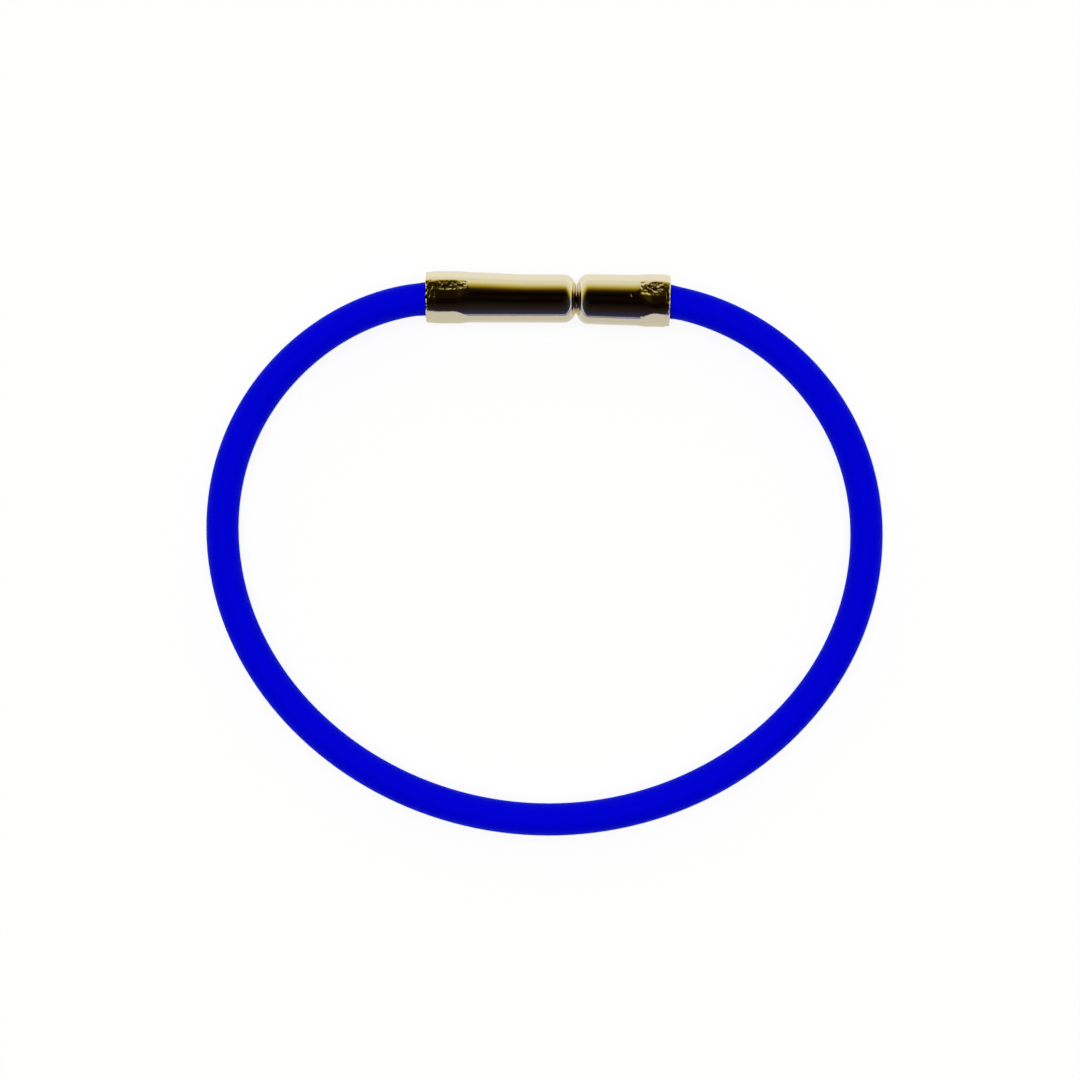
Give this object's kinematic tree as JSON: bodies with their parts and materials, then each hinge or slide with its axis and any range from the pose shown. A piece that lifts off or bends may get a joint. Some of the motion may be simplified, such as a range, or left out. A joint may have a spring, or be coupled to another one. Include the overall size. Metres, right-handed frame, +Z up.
{
  "type": "esd wrist strap",
  "caption": "Cordless anti-static wrist strap: a soft blue tube with a conductive core, closed into a loop by a nickel-plated snap clasp that pulls apart and swivels.",
  "frame": {"origin": "on the bench under the middle of the loop's outline, with the strap lying flat", "axes": "+X along the clasp from the socket half to the plug half, +Y from the middle of the loop to the clasp, +Z up"},
  "size_m": [0.069, 0.0575, 0.0049],
  "materials": {
    "nickel_plate": "bright nickel plate, polished",
    "brass": "turned, plain",
    "spring_steel": "drawn spring wire",
    "blue_elastomer": "smooth extruded, satin",
    "carbon_yarn": "twisted carbon-loaded yarn"
  },
  "bodies": {
    "socket_half": {"socket_sleeve": "nickel_plate", "ring_seat": "brass", "snap_ring": "spring_steel", "stop_disc": "brass", "socket_core_eyelet": "brass", "strap_tube_socket_end": "blue_elastomer", "conductive_core_socket_end": "carbon_yarn"},
    "socket_belly": {"strap_tube_socket_belly": "blue_elastomer", "conductive_core_socket_belly": "carbon_yarn"},
    "plug_belly": {"strap_tube_plug_belly": "blue_elastomer", "conductive_core_plug_belly": "carbon_yarn"},
    "plug_half": {"plug_sleeve": "nickel_plate", "pin_retainer": "brass", "plug_core_eyelet": "brass", "strap_tube_plug_end": "blue_elastomer", "conductive_core_plug_end": "carbon_yarn"},
    "pin": {"plug_pin": "nickel_plate"}
  },
  "joints": [
    {"name": "loop_open", "type": "hinge", "parent": "socket_belly", "child": "plug_belly", "pos_m": [0.00044, -0.0271, 0.00165], "axis": [0, 0, -1], "range_deg": [0, 45], "deforming": ["snap_ring", "strap_tube_socket_end", "strap_tube_socket_belly", "strap_tube_plug_belly", "strap_tube_plug_end", "conductive_core_socket_end", "conductive_core_socket_belly", "conductive_core_plug_belly", "conductive_core_plug_end"]},
    {"name": "socket_side_flex", "type": "hinge", "parent": "socket_half", "child": "socket_belly", "pos_m": [-0.03285, 0.00264, 0.00165], "axis": [0, 0, -1], "range_deg": [0, 20.7]},
    {"name": "plug_side_flex", "type": "hinge", "parent": "plug_belly", "child": "plug_half", "pos_m": [0.03285, 0.00197, 0.00165], "axis": [0, 0, -1], "range_deg": [0, 24.3]},
    {"name": "pin_swivel", "type": "hinge", "parent": "plug_half", "child": "pin", "pos_m": [0.0033, 0.02598, 0.00245], "axis": [1, 0, 0], "continuous": true}
  ],
  "couplings": [
    {"joint": "socket_side_flex", "follows": "loop_open", "ratio": 0.46},
    {"joint": "plug_side_flex", "follows": "loop_open", "ratio": 0.54}
  ]
}
